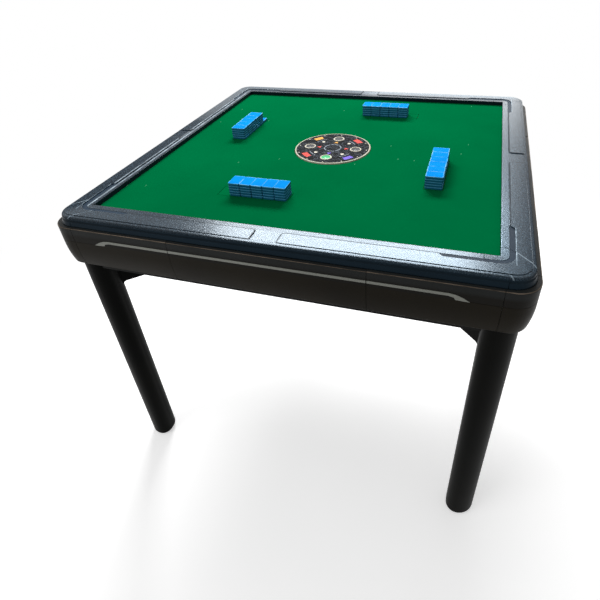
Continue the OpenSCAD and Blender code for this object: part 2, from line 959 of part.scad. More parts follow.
// A row of stacks beside the centre line, and single tiles beyond its end
module tile_row(angle, stacks, singles) {
  color([0.05, 0.5, 0.85])
    rotate(angle) {
      for (column = [0:stacks - 1], layer = [0:layers - 1])
        tile(column, layer);
      if (singles > 0)
        for (column = [stacks:stacks + singles - 1])
          tile(column, 0);
    }
}

// Tile channels beside the lifts, where the stacks are formed

channel_wall = 2.5;
channel_half = tile_l / 2 + 1.2;
stem_w = 5;
drive_z = channel_z - 9;

module tile_channel() {
  y1 = channel_start;
  y2 = channel_end;
  top = board_under - 3;
  difference() {
    block(
      [row_dist - channel_half - channel_wall, y1, channel_z - 3],
      [row_dist + channel_half + channel_wall, y2, top]
    );
    block([row_dist - channel_half, y1 - 1, channel_z], [row_dist + channel_half, y2 + 1, top + 1]);
    // Slot for the pusher's stem
    block(
      [row_dist - stem_w / 2 - slot_gap, y1 + 5, channel_z - 4],
      [row_dist + stem_w / 2 + slot_gap, y2 + 1, channel_z + 1]
    );
  }
  // Feet, and the closed drive that the pusher's stem rides on
  for (y = [y1 + 25, y2 - 25])
    block([row_dist + 6, y - 5, machine_z], [row_dist + 18, y + 5, channel_z - 2.9]);
  block([row_dist - 8, y1 + 4, drive_z - 8], [row_dist + 8, y2 - 2, drive_z]);
}

module tile_channels() {
  color([0.85, 0.85, 0.83])
    for (side = SIDES)
      rotate(side) tile_channel();
}

module stack_pusher(angle) {
  y2 = channel_end - 1;
  color([0.75, 0.2, 0.15])
    rotate(angle) {
      block(
        [row_dist - channel_half + 1, y2 - 8, channel_z + 0.3],
        [row_dist + channel_half - 1, y2 - 4, board_under - 5]
      );
      block([row_dist - 10, y2 - 5, channel_z + 0.3], [row_dist + 10, y2, channel_z + 16]);
      block([row_dist - stem_w / 2, y2 - 5, drive_z + 0.3], [row_dist + stem_w / 2, y2 - 1, channel_z + 1]);
    }
}

// Centre console

module key_places() {
  for (side = SIDES)
    rotate(side) translate([key_dist, 0, 0]) children();
}

// Guide tube of the console, with the turntable's shoulder round its foot and
// the tubular lift motor inside
module console_guide() {
  color([0.55, 0.56, 0.58])
    difference() {
      union() {
        difference() {
          union() {
            translate([0, 0, machine_z]) cylinder(r = guide_out, h = guide_top - machine_z);
            translate([0, 0, machine_z]) cylinder(r = guide_out + 22, h = 3);
            translate([0, 0, machine_z]) cylinder(r = guide_out + 8, h = hub_z - running_gap - machine_z);
          }
          translate([0, 0, machine_z + 3]) cylinder(r = guide_in, h = guide_top);
        }
        translate([0, 0, machine_z + 2]) cylinder(r = ram_r + 14, h = ram_case_top - machine_z - 2);
      }
      translate([0, 0, machine_z + 6]) cylinder(r = ram_r + running_gap, h = ram_case_top);
    }
}

// The column with its flange, and the ram of the lift motor inside
module console_column() {
  color([0.2, 0.2, 0.21])
    rotate_extrude($fn = 96) {
      polygon([
        [column_r - 4, column_foot], [column_r, column_foot], [column_r, cup_z - flange_t],
        [console_r - 2, cup_z - flange_t], [console_r - 2, cup_z], [0, cup_z],
        [0, column_foot + 2], [ram_r, column_foot + 2],
        [ram_r, cup_z - flange_t], [column_r - 4, cup_z - flange_t]
      ]);
    }
}

// The panel is a shallow cup with a raised pale border and four key holes
module console_panel() {
  border_w = 3.5;
  color([0.08, 0.08, 0.09])
    difference() {
      rotate_extrude($fn = 96)
        polygon(concat(
          [[0, panel_z - panel_t], [console_r - border_w, panel_z - panel_t]],
          [[console_r - border_w, cup_z], [console_r, cup_z]],
          arc_points(console_r - 1, panel_z + 0.6 - 1, 1, 0, 90, 3),
          [[console_r - border_w, panel_z + 0.6], [console_r - border_w - 0.6, panel_z], [0, panel_z]]
        ));
      key_places() translate([0, 0, panel_z - panel_t - 1])
        cylinder(r = key_r + running_gap, h = panel_t + 2);
    }
}

// A key: domed cap with a rim, on a flange that the panel holds down
module key(angle) {
  cap_z = panel_z + 1;
  flange_z = panel_z - panel_t - running_gap;
  color([0.12, 0.12, 0.13])
    rotate(angle) translate([key_dist, 0, 0])
      rotate_extrude()
        polygon(concat(
          [[0, flange_z - 1.5], [key_r + 2, flange_z - 1.5], [key_r + 2, flange_z], [key_r, flange_z]],
          [[key_r, cap_z - 0.8], [key_r - 0.8, cap_z], [key_r - 3, cap_z], [key_r - 3.6, cap_z - 0.8]],
          [[0, cap_z - 0.2]]
        ));
}

// Shuffling machine

module turntable() {
  cone_r = guide_out + 30;
  rib_w = 6;
  color([0.3, 0.31, 0.33])
    difference() {
      union() {
        rotate_extrude($fn = 128)
          polygon([
            [guide_out + running_gap, hub_z], [hub_r + 3, hub_z], [hub_r + 3, belt_z - 0.5],
            [hub_r, belt_z - 0.2], [hub_r, belt_z + belt_h + 0.2], [hub_r + 3, belt_z + belt_h + 0.5],
            [hub_r + 3, disc_z], [turntable_r - 3, disc_z], [turntable_r, disc_z + 2],
            [turntable_r, disc_z + disc_t + 2], [turntable_r - 3, disc_z + disc_t],
            [cone_r, disc_z + disc_t + 1], [guide_out + 6, disc_z + disc_t + 12],
            [guide_out + running_gap, disc_z + disc_t + 12]
          ]);
        // Low ribs that stir the tiles
        for (i = [0:7])
          rotate(i * 45 + 22.5)
            block(
              [cone_r - 4, -rib_w / 2, disc_z + 1],
              [turntable_r - 12, rib_w / 2, disc_z + disc_t + 3.5]
            );
      }
    }
}

module bowl_wall() {
  low = disc_z + 1;
  foot_w = 14;
  color([0.8, 0.8, 0.78])
    difference() {
      union() {
        translate([0, 0, low]) cylinder(r = bowl_r + 3, h = bowl_h, $fn = 128);
        for (side = SIDES)
          rotate(side) block([bowl_r - 1, -foot_w / 2, machine_z], [bowl_r + 10, foot_w / 2, low + 20]);
      }
      translate([0, 0, machine_z - 1]) cylinder(r = bowl_r, h = bowl_h + 60, $fn = 128);
      // Windows through which the tiles leave for the channels
      for (side = SIDES)
        rotate(side + 24) block([bowl_r - 20, -30, low + 8], [bowl_r + 20, 30, low + 28]);
    }
}

motor_turn = 45;

module motor_place() {
  rotate(motor_turn) translate([motor_dist, 0, 0]) children();
}

module shuffle_motor() {
  plate_z = motor_z - 3;
  color([0.5, 0.51, 0.53])
    motor_place() {
      difference() {
        union() {
          translate([0, 0, motor_z]) cylinder(r = motor_r, h = motor_h);
          translate([0, 0, motor_z + motor_h]) cylinder(r = motor_r - 6, h = 4);
          translate([0, 0, plate_z]) cylinder(r = motor_flange_r, h = 3.5);
          for (a = [70, 180, 290])
            rotate(a + 180) translate([motor_r + 2, 0, machine_z])
              cylinder(r = 5, h = plate_z - machine_z + 1);
          for (i = [0:11])
            rotate(i * 30)
              block([motor_r - 1, -1.5, motor_z + 8], [motor_r + 3, 1.5, motor_z + motor_h - 8]);
        }
        translate([0, 0, plate_z - 1]) cylinder(r = 4 + running_gap, h = 30);
      }
    }
}

module motor_pulley() {
  color([0.7, 0.71, 0.73])
    motor_place() {
      rotate_extrude()
        polygon([
          [0, belt_z - 2], [pulley_r + 2, belt_z - 2],
          [pulley_r + 2, belt_z - 0.5], [pulley_r, belt_z - 0.2],
          [pulley_r, belt_z + belt_h + 0.2], [pulley_r + 2, belt_z + belt_h + 0.5],
          [pulley_r + 2, belt_z + belt_h + 1.5], [4, belt_z + belt_h + 1.5], [4, motor_z + 20], [0, motor_z + 20]
        ]);
    }
}

// The belt: an arc round each pulley and two straight runs between them.
// The runs lap over the arcs' ends and are a hair thicker, so that all four join.
module drive_belt() {
  lap = 0.5;
  hair = 0.05;
  in_1 = hub_r + running_gap;
  in_2 = pulley_r + running_gap;
  lean = acos((in_1 - in_2) / motor_dist);
  run_len = motor_dist * sin(lean);
  color([0.04, 0.04, 0.04])
    rotate(motor_turn) translate([0, 0, belt_z]) {
      rotate(lean) rotate_extrude(angle = 360 - 2 * lean) translate([in_1, 0]) square([belt_t, belt_h]);
      translate([motor_dist, 0, 0]) rotate(-lean)
        rotate_extrude(angle = 2 * lean) translate([in_2, 0]) square([belt_t, belt_h]);
      for (turn = [0, 1])
        mirror([0, turn, 0]) rotate(lean)
          block([in_1 - hair, -run_len - lap, -hair], [in_1 + belt_t + hair, lap, belt_h + hair]);
    }
}

// Control box, in the front left corner of the machine floor. Its foot fills a
// window in the floor and holds the mains inlet and the well of the power switch.
box_x = box_clear - pocket;
box_y = box_clear - pocket;
foot_w = 52;
foot_l = 30;
socket_w = 24;
socket_l = 17;
socket_deep = 16;
rocker_x = 15;
rocker_w = 12;
rocker_half = 10.2;
rocker_tilt = 8;
foot_z = floor_z - 1;

module control_box() {
  fit = 0.3;
  top_z = machine_z + box_h;
  tab_x = box_w / 2 + 6;
  fin_pitch = box_w / 11;
  color([0.75, 0.76, 0.74])
    translate([box_x, box_y, 0])
      difference() {
        union() {
          block([-box_w / 2, -box_l / 2, machine_z], [box_w / 2, box_l / 2, top_z]);
          // Fixing tabs
          for (sx = [-1, 1])
            block([sx * tab_x - 8, -12, machine_z], [sx * tab_x + 8, 12, machine_z + 3]);
          // Cooling fins
          for (i = [-4:4])
            block([i * fin_pitch - 1.5, -box_l / 3, top_z - 0.5], [i * fin_pitch + 1.5, box_l / 3, top_z + 3]);
          block([-foot_w / 2 + fit, -foot_l / 2 + fit, foot_z], [foot_w / 2 - fit, foot_l / 2 - fit, machine_z + 1]);
        }
        // Cable sockets
        for (i = [-1:1])
          translate([i * box_w / 4, -box_l / 2, machine_z + 10]) block([-10, -1, 0], [10, 9, 14]);
        // Mains socket with its three pins
        difference() {
          block([-22, -socket_l / 2, foot_z - 1], [-22 + socket_w, socket_l / 2, foot_z + socket_deep]);
          for (i = [-1:1])
            block(
              [-11 + i * 7, i == 0 ? 0.5 : -3.5, foot_z + 3],
              [-9 + i * 7, i == 0 ? 4 : 0, foot_z + socket_deep + 1]
            );
        }
        // Well of the power switch
        block(
          [rocker_x - rocker_w / 2 - 0.4, -rocker_half - 1.2, foot_z - 1],
          [rocker_x + rocker_w / 2 + 0.4, rocker_half + 1.2, foot_z + 16]
        );
      }
}

// The rocker turns about a pin along X, just inside the machine floor
module power_rocker() {
  pivot_z = foot_z + 4;
  color([0.7, 0.05, 0.04])
    translate([box_x + rocker_x - rocker_w / 2, box_y, pivot_z])
      rotate([rocker_tilt, 0, 0]) rotate([90, 0, 90]) linear_extrude(rocker_w)
        polygon([
          [-rocker_half, 3], [-rocker_half, -5.4], [0, -4], [rocker_half, -5.4], [rocker_half, 3],
          [4, 8], [-4, 8]
        ]);
}

leg(LEFT);  // leg_front_left
leg(FRONT);  // leg_front_right
leg(BACK);  // leg_back_left
leg(RIGHT);  // leg_back_right
leg_glides();
leg_bolts();
chassis_frame();
base_pan();
inner_frame();
rim_side(FRONT);  // rim_front
rim_side(RIGHT);  // rim_right
rim_side(BACK);  // rim_back
rim_side(LEFT);  // rim_left
rim_corners();
rim_inlays();
skirt_side(FRONT);  // skirt_front
skirt_side(RIGHT);  // skirt_right
skirt_side(BACK);  // skirt_back
skirt_side(LEFT);  // skirt_left
skirt_corners();
skirt_strips();
table_board();
playing_felt();
drawer_runners();
drawer(FRONT);  // drawer_front
drawer(RIGHT);  // drawer_right
drawer(BACK);  // drawer_back
drawer(LEFT);  // drawer_left
drawer_strip(FRONT);  // drawer_strip_front
drawer_strip(RIGHT);  // drawer_strip_right
drawer_strip(BACK);  // drawer_strip_back
drawer_strip(LEFT);  // drawer_strip_left
lift(FRONT);  // lift_front
lift(RIGHT);  // lift_right
lift(BACK);  // lift_back
lift(LEFT);  // lift_left
tile_row(FRONT, 5, 0);  // tiles_front
tile_row(RIGHT, 6, 0);  // tiles_right
tile_row(BACK, 5, 0);  // tiles_back
tile_row(LEFT, 5, 1);  // tiles_left
lift_units();
tile_channels();
stack_pusher(FRONT);  // pusher_front
stack_pusher(RIGHT);  // pusher_right
stack_pusher(BACK);  // pusher_back
stack_pusher(LEFT);  // pusher_left
console_guide();
console_column();
console_panel();
key(FRONT);  // key_front
key(RIGHT);  // key_right
key(BACK);  // key_back
key(LEFT);  // key_left
turntable();
bowl_wall();
shuffle_motor();
motor_pulley();
drive_belt();
control_box();
power_rocker();
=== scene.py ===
"""Looks of the okey table: materials, printed panel, tiles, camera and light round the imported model."""
import json
import math

import bmesh
import bpy
from mathutils import Matrix, Vector


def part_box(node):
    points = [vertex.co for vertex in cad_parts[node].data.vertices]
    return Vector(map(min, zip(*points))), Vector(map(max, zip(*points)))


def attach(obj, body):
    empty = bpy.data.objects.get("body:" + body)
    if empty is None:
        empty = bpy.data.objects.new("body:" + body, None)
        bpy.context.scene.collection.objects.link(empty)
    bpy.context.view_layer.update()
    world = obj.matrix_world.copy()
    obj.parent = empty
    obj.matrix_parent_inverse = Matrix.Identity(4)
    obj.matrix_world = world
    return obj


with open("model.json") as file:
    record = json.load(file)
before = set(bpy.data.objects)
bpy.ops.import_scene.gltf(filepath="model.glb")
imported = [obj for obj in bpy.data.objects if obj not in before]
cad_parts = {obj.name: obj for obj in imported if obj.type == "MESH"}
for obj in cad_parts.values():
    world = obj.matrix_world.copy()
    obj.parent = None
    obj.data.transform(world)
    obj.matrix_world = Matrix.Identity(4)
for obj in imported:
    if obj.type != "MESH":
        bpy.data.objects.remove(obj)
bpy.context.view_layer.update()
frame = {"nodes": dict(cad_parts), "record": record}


# Places and sizes on the table, in metres

MM = 0.001
SIDES = {"right": 0, "back": 90, "left": 180, "front": 270}

# The rim's half widths over its outline, its lip, its inlays and the inner sides of its pads; its corners,
# the height of its lip, and how far below the lip the shadow lines and their painted shade start
RIM_HALF = 478 * MM
LIP_HALF = 434.5 * MM
INLAY_HALF = 444.5 * MM
PAD_INNER = 435.5 * MM
RIM_CORNER = 38 * MM
LIP_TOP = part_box("rim_front")[1].z - 1.5 * MM
LINE_DEPTH = 1.8 * MM

# Along a side, from its middle: the end of a pad by the bridge, the inlay's arm, and the slanted corner
# seam; then the widths of the painted highlights on the seam and beside the inlay
PAD_END = 27 * MM
INLAY_START = 326 * MM
SEAM_START = 393 * MM
SEAM_SLOPE = 42 / 38
SEAM_HALF_WIDTH = 1.3 * MM
INLAY_EDGE = 1.2 * MM

# Painted shade along a pad's edge, and the painted highlight lines along the inner edges of the left side
PAD_ROUND = 8 * MM
PAD_SHADE = 2.4 * MM
PAD_LIFT = 1.0 * MM
LIP_LINE = (429 * MM, 432 * MM)
PAD_LINE = (438 * MM, 440.6 * MM)
PAD_LINE_REACH = (40 * MM, 380 * MM)

# The rounded outer edge of the rim, where the top's shine runs on, and the fillet below that catches light
ROLL_WIDTH = 12 * MM
ROLL_LOW = LIP_TOP - 5.5 * MM
FILLET_HIGH = LIP_TOP - 8.0 * MM
FILLET_LOW = LIP_TOP - 11.5 * MM
EDGE_ROUND = 2.0 * MM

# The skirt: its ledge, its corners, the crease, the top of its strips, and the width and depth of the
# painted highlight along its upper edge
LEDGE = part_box("skirt_front")[1].z
SKIRT_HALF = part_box("skirt_right")[1].x
SKIRT_CORNER = 44 * MM
CREASE = LEDGE - 32 * MM
STRIP_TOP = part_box("skirt_strips")[1].z
STRIP_BLEND = 8 * MM
LEDGE_HIGHLIGHT_WIDTH = 1.8 * MM
LEDGE_HIGHLIGHT_DEPTH = 1.0 * MM

# The stacks of tiles: middle line and start of a row, and the pitch, half length and painted edge highlights
# of a tile
FELT_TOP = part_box("playing_felt")[1].z
LAYER_PITCH = 6.1 * MM
ROW_DIST = 280 * MM
ROW_START = 18 * MM
TILE_PITCH = 27 * MM
TILE_HALF = 19.25 * MM
TILE_SEAM = 0.8 * MM
TILE_EDGE = 1.7 * MM

# The lifts' boards, and the console's border and keys
BOARD_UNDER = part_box("table_board")[0].z + 0.1 * MM
BOARD_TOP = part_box("table_board")[1].z + 0.1 * MM
BORDER_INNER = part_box("console_panel")[1].x - 3.4 * MM
KEY_LOW, KEY_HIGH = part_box("key_right")
KEY_CENTRE = (KEY_LOW.x + KEY_HIGH.x) / 2
KEY_RIM_INNER = (KEY_HIGH.x - KEY_LOW.x) / 2 - 5.4 * MM
PRINT_THICK = 0.12 * MM
PANEL_TOP = KEY_HIGH.z - 1.0 * MM


# Colours and node graphs

def screen(red, green, blue):
    """Linear colour of an 8-bit screen colour."""
    def linear(value):
        v = value / 255
        return v / 12.92 if v <= 0.04045 else ((v + 0.055) / 1.055) ** 2.4
    return (linear(red), linear(green), linear(blue), 1.0)


def scaled(colour, factor):
    """The same colour, darker or lighter."""
    return tuple(c * factor for c in colour[:3]) + (1.0,)


def seen_rays(tree):
    """1 for rays from the camera and for those that metal and glass send on, else 0."""
    path = tree.nodes.new("ShaderNodeLightPath")
    seen = path.outputs["Is Camera Ray"]
    for ray in ("Is Glossy Ray", "Is Transmission Ray"):
        either = tree.nodes.new("ShaderNodeMath")
        either.operation = "MAXIMUM"
        tree.links.new(seen, either.inputs[0])
        tree.links.new(path.outputs[ray], either.inputs[1])
        seen = either.outputs[0]
    return seen


class Graph:
    """A material with its shader, and short ways to add and link nodes."""

    def __init__(self, name, **sockets):
        self.material = bpy.data.materials.new(name)
        self.material.use_nodes = True
        self.tree = self.material.node_tree
        self.tree.nodes.clear()
        self.output = self.add("ShaderNodeOutputMaterial")
        self.shader = self.add("ShaderNodeBsdfPrincipled", **sockets)
        self.link(self.shader.outputs["BSDF"], self.output, "Surface")
        self.place = self.add("ShaderNodeTexCoord").outputs["Object"]

    def add(self, kind, **values):
        """A node; a value is a socket's if the node has one of that name, else a property's."""
        node = self.tree.nodes.new(kind)
        for key, value in values.items():
            socket = key.replace("_", " ")
            if socket in node.inputs:
                node.inputs[socket].default_value = value
            else:
                setattr(node, key, value)
        return node

    def link(self, source, target, socket):
        self.tree.links.new(source, target.inputs[socket])

    def feed(self, node, values):
        """Sets or links a node's sockets from pairs of a socket's number and a value or output."""
        for socket, value in values:
            if isinstance(value, (int, float, tuple)):
                node.inputs[socket].default_value = value
            else:
                self.link(value, node, socket)
        return node

    def math(self, operation, *values):
        node = self.add("ShaderNodeMath", operation=operation)
        return self.feed(node, enumerate(values)).outputs[0]

    def vector(self, operation, *values):
        node = self.add("ShaderNodeVectorMath", operation=operation)
        return self.feed(node, enumerate(values)).outputs["Value" if operation == "LENGTH" else "Vector"]

    def times(self, first, *others):
        """Product of several factors."""
        for other in others:
            first = self.math("MULTIPLY", first, other)
        return first

    def above(self, value, edge):
        """1 where a value passes an edge, else 0."""
        return self.math("GREATER_THAN", value, edge)

    def below(self, value, edge):
        """1 where a value is under an edge, else 0."""
        return self.math("LESS_THAN", value, edge)

    def within(self, value, low, high):
        """1 where a value lies between two edges, else 0."""
        return self.times(self.above(value, low), self.below(value, high))

    def slope(self, value, first, second):
        """A value that runs evenly between two (place, value) pairs and stays level beyond them."""
        (start, low), (stop, high) = first, second
        node = self.add("ShaderNodeMapRange", From_Min=start, To_Min=low, From_Max=stop, To_Max=high)
        self.link(value, node, "Value")
        return node.outputs["Result"]

    def mix(self, factor, first, second):
        """Mix of two colours or vectors."""
        node = self.add("ShaderNodeMix", data_type="RGBA")
        return self.feed(node, ((0, factor), (6, first), (7, second))).outputs[2]

    def mix_numbers(self, factor, first, second):
        node = self.add("ShaderNodeMix", data_type="FLOAT")
        return self.feed(node, ((0, factor), (2, first), (3, second))).outputs[0]

    def turned(self, **values):
        """The place, turned or stretched."""
        mapping = self.add("ShaderNodeMapping", **values)
        self.link(self.place, mapping, "Vector")
        return mapping.outputs["Vector"]

    def noise(self, scale, detail=2.0, stretch=(1, 1, 1), rough=0.5):
        """Grey noise with its scale in cells per metre."""
        node = self.add("ShaderNodeTexNoise", Scale=scale, Detail=detail, Roughness=rough)
        self.link(self.turned(Scale=stretch), node, "Vector")
        return node.outputs["Fac"]

    def ramp(self, factor, *stops):
        """Colours or greys along a factor, each stop a place and a colour."""
        node = self.add("ShaderNodeValToRGB")
        elements = node.color_ramp.elements
        while len(elements) < len(stops):
            elements.new(0.5)
        for element, (place, colour) in zip(elements, stops):
            element.position = place
            element.color = colour if isinstance(colour, tuple) else (colour, colour, colour, 1)
        self.link(factor, node, "Fac")
        return node.outputs["Color"]

    def drift(self, scale, detail, first, second, low=0.35, high=0.7):
        """Two colours that run into each other in soft patches."""
        return self.ramp(self.noise(scale, detail), (low, first), (high, second))

    def split(self, vector):
        """A node with the three parts of a vector."""
        node = self.add("ShaderNodeSeparateXYZ")
        self.link(vector, node, "Vector")
        return node

    def axis(self, name):
        """One coordinate of the place, in metres."""
        return self.split(self.place).outputs[name]

    def radius(self, x, y):
        """Distance from an upright axis, in metres."""
        return self.vector("LENGTH", self.vector("MULTIPLY_ADD", self.place, (1, 1, 0), (-x, -y, 0)))

    def round_square(self, half):
        """Distance outside a square of a half width about the middle, round its corners too."""
        outside = self.vector("SUBTRACT", self.vector("ABSOLUTE", self.place), (half, half, 0))
        outside = self.vector("MAXIMUM", outside, (0, 0, 0))
        return self.vector("LENGTH", self.vector("MULTIPLY", outside, (1, 1, 0)))

    def facing_up(self):
        """1 on faces that look up or down, 0 on upright ones."""
        normal = self.add("ShaderNodeNewGeometry").outputs["Normal"]
        return self.math("ABSOLUTE", self.split(normal).outputs["Z"])

    def paint(self, colour):
        self.link(colour, self.shader, "Base Color")

    def roughness(self, low, high, factor):
        self.link(self.slope(factor, (0, low), (1, high)), self.shader, "Roughness")

    def bump(self, height, distance, strength=1.0):
        node = self.add("ShaderNodeBump", Strength=strength, Distance=distance)
        self.link(height, node, "Height")
        self.link(node.outputs["Normal"], self.shader, "Normal")


# The rim's paint

class RimPlace:
    """Where a point of the rim lies, in terms that hold for all four sides."""

    def __init__(self, g):
        self.x, self.y, self.z = (g.axis(name) for name in "XYZ")
        across = g.math("ABSOLUTE", self.x)
        along = g.math("ABSOLUTE", self.y)
        self.outward = g.math("MAXIMUM", across, along)
        self.sideways = g.math("MINIMUM", across, along)
        self.to_the_side = g.math("SUBTRACT", across, along)
        self.left_or_right = g.above(self.to_the_side, 0)


def painted_pad_shade(g, spot):
    """Painted shade along the edge of a rim pad: along its inner side, round its corner and down its end."""
    inner = g.math("MAXIMUM", g.math("SUBTRACT", PAD_INNER + PAD_ROUND, spot.outward), 0)
    end = g.math("MAXIMUM", g.math("SUBTRACT", PAD_END + PAD_ROUND, spot.sideways), 0)
    distance = g.math("SQRT", g.math("ADD", g.times(inner, inner), g.times(end, end)))
    return g.times(g.above(distance, PAD_ROUND - PAD_SHADE), g.above(spot.z, LIP_TOP + PAD_LIFT))


def painted_edge_highlights(g, spot):
    """Painted highlights where edges would catch the light: corner seams, pads beside the inlays, and inner
    edges of the left side.
    """
    rise = g.times(g.math("SUBTRACT", spot.outward, LIP_HALF), SEAM_SLOPE)
    off = g.math("SUBTRACT", g.math("SUBTRACT", spot.sideways, SEAM_START), rise)
    seam = g.times(g.below(g.math("ABSOLUTE", off), SEAM_HALF_WIDTH), g.above(spot.outward, LIP_HALF))
    wall = g.within(spot.outward, INLAY_HALF, INLAY_HALF + INLAY_EDGE)
    beside = g.times(wall, g.above(spot.sideways, INLAY_START), spot.left_or_right)
    lip = g.within(spot.outward, *LIP_LINE)
    pad = g.times(g.within(spot.outward, *PAD_LINE), g.within(spot.sideways, *PAD_LINE_REACH))
    left = g.times(g.below(spot.x, 0), spot.left_or_right, g.math("MAXIMUM", lip, pad))
    return g.math("MAXIMUM", g.math("MAXIMUM", seam, left), beside)


def side_gloss(g, spot):
    """Gloss of the rim's top. It changes across each side, because the real rim falls away outwards.

    Each slope runs between two pairs of a place in metres and a level of gloss.
    """
    pads = {
        "front": g.slope(spot.x, (-0.08, 0.22), (0.36, 0.33)),
        "right": g.slope(spot.outward, (PAD_INNER, 0.5), (RIM_HALF, 0.06)),
        "back": g.slope(spot.outward, (PAD_INNER, 0.16), (PAD_INNER + 26 * MM, 1.0)),
        "left": g.math("MAXIMUM", g.slope(spot.y, (0.1, 0.02), (0.38, 0.5)),
                       g.slope(spot.outward, (438 * MM, 0.4), (443 * MM, 0.0))),
    }
    lips = {
        "front": g.slope(spot.x, (-0.08, 0.17), (0.36, 0.27)),
        "right": g.slope(spot.y, (-0.3, 1.0), (0.3, 0.55)),
        "back": 0.1,
        "left": g.slope(spot.outward, (424.5 * MM, 0.05), (430 * MM, 0.45)),
    }
    lip = g.below(spot.outward, LIP_HALF)
    level = {side: g.mix_numbers(lip, pads[side], lips[side]) for side in pads}
    left_or_right = g.mix_numbers(g.above(spot.x, 0), level["left"], level["right"])
    front_or_back = g.mix_numbers(g.above(spot.y, 0), level["front"], level["back"])
    sideways = g.slope(spot.to_the_side, (-0.02, 0.0), (0.02, 1.0))
    return g.mix_numbers(sideways, front_or_back, left_or_right)


# How densely the flakes lie and how far they tip, the gloss of the flank, the fillet's share of the top's
# gloss, and how far the rounded edge is shaded as if it lay flat
FLAKES_PER_METRE = 1300
FLAKE_TIP = 0.045
FLANK_GLOSS = 0.09
FILLET_SHINE = 0.6
ROLL_LEVELLING = 0.94


def flake_paint(name, colour, lighter, dark):
    """Gloss moulding with metal flakes, each tipped its own way so that it sparkles.

    In the shadow lines, on the edges of the pads and down the outer side it is plain dark navy, which in the
    shadow lines and on the pads' edges is painted shade.
    """
    g = Graph(name, Specular_Tint=screen(178, 224, 255))
    spot = RimPlace(g)
    cells = g.add("ShaderNodeTexVoronoi", Scale=FLAKES_PER_METRE)
    g.link(g.place, cells, "Vector")
    flakes = g.add("ShaderNodeSeparateColor")
    g.link(cells.outputs["Color"], flakes, "Color")

    outer = g.above(g.round_square(RIM_HALF - RIM_CORNER), RIM_CORNER - ROLL_WIDTH)
    rolled = g.times(outer, g.above(spot.z, ROLL_LOW))
    fillet = g.times(outer, g.within(spot.z, FILLET_LOW, FILLET_HIGH))
    # Painted shade: below the lip's top, in the shadow lines, the top's flakes and gloss give way to the
    # plain dark ground
    top = g.math("MAXIMUM", g.above(spot.z, LIP_TOP - LINE_DEPTH), rolled)
    # Painted shade: on a pad's edge the top's flakes and gloss give way to the plain dark ground
    top = g.times(top, g.math("SUBTRACT", 1, painted_pad_shade(g, spot)))

    ground = g.drift(7, 3, dark, scaled(dark, 1.5))
    flake = g.ramp(flakes.outputs["Red"], (0.75, colour), (0.97, lighter))
    # Colour of the painted highlights on the rim's edges
    painted_edge_highlight_colour = g.drift(40, 3, screen(84, 98, 110), screen(176, 194, 206), high=0.65)
    g.paint(g.mix(top, ground, g.mix(painted_edge_highlights(g, spot), flake, painted_edge_highlight_colour)))
    g.roughness(0.17, 0.27, flakes.outputs["Green"])
    shining = g.math("MAXIMUM", top, g.times(fillet, FILLET_SHINE))
    dull = g.times(g.math("SUBTRACT", 1, shining), FLANK_GLOSS)
    g.link(g.math("MULTIPLY_ADD", shining, side_gloss(g, spot), dull), g.shader, "Specular IOR Level")

    rounded = g.add("ShaderNodeBevel", samples=4, Radius=EDGE_ROUND)
    grain = g.add("ShaderNodeBump", Strength=1.0, Distance=0.00002)
    g.link(g.noise(1100, 2), grain, "Height")
    g.link(rounded.outputs["Normal"], grain, "Normal")
    flat = g.times(g.math("MAXIMUM", rolled, fillet), ROLL_LEVELLING)
    lying = g.mix(flat, grain.outputs["Normal"], (0.0, 0.0, 1.0, 1.0))
    tip = g.vector("MULTIPLY_ADD", cells.outputs["Color"], (FLAKE_TIP,) * 3, (-FLAKE_TIP / 2,) * 3)
    g.link(g.vector("NORMALIZE", g.vector("ADD", tip, lying)), g.shader, "Normal")
    return g.material


# The other materials

FELT_GREEN = screen(0, 110, 62)
FELT_DEEP = screen(0, 100, 56)
FELT_DARK = screen(0, 86, 46)
LINT_GREEN = screen(72, 148, 108)
WOOD_DARK = screen(150, 118, 78)
WOOD_PALE = screen(188, 156, 112)


def moulding(name, colour, lighter, rough, specular=0.3, grain=1400, depth=0.00006):
    """Injection-moulded plastic: fine grain, a slow drift of shade and of gloss."""
    g = Graph(name, Specular_IOR_Level=specular)
    g.paint(g.drift(5, 3, colour, lighter))
    g.roughness(rough - 0.06, rough + 0.08, g.noise(14, 4))
    g.bump(g.noise(grain, 2), depth)
    return g.material


def rubber(name, colour, lighter):
    return moulding(name, colour, lighter, 0.8, 0.2, grain=900, depth=0.0002)


def skirt_moulding():
    """Brown-black moulding whose upper edge carries a painted highlight, a warm grey line."""
    g = Graph("skirt_brown_black", Specular_IOR_Level=0.06)
    height = g.axis("Z")
    middle = g.drift(5, 3, screen(24, 23, 20), screen(30, 28, 25))
    brown = g.drift(5, 3, screen(25, 22, 16), screen(33, 29, 21))
    upper = g.drift(5, 3, screen(36, 37, 36), screen(43, 45, 45))
    ground = g.mix(g.above(height, CREASE), brown, middle)
    ground = g.mix(g.slope(height, (STRIP_TOP, 0), (STRIP_TOP + STRIP_BLEND, 1)), ground, upper)
    # Painted highlight: a warm grey line along the skirt's upper edge
    painted_ledge_highlight = g.drift(22, 3, screen(58, 52, 46), screen(150, 134, 118), low=0.3, high=0.75)
    edge = g.above(g.round_square(SKIRT_HALF - SKIRT_CORNER), SKIRT_CORNER - LEDGE_HIGHLIGHT_WIDTH)
    g.paint(g.mix(g.times(edge, g.above(height, LEDGE - LEDGE_HIGHLIGHT_DEPTH)), ground, painted_ledge_highlight))
    g.roughness(0.36, 0.50, g.noise(14, 4))
    g.bump(g.noise(1400, 2), 0.00006)
    return g.material


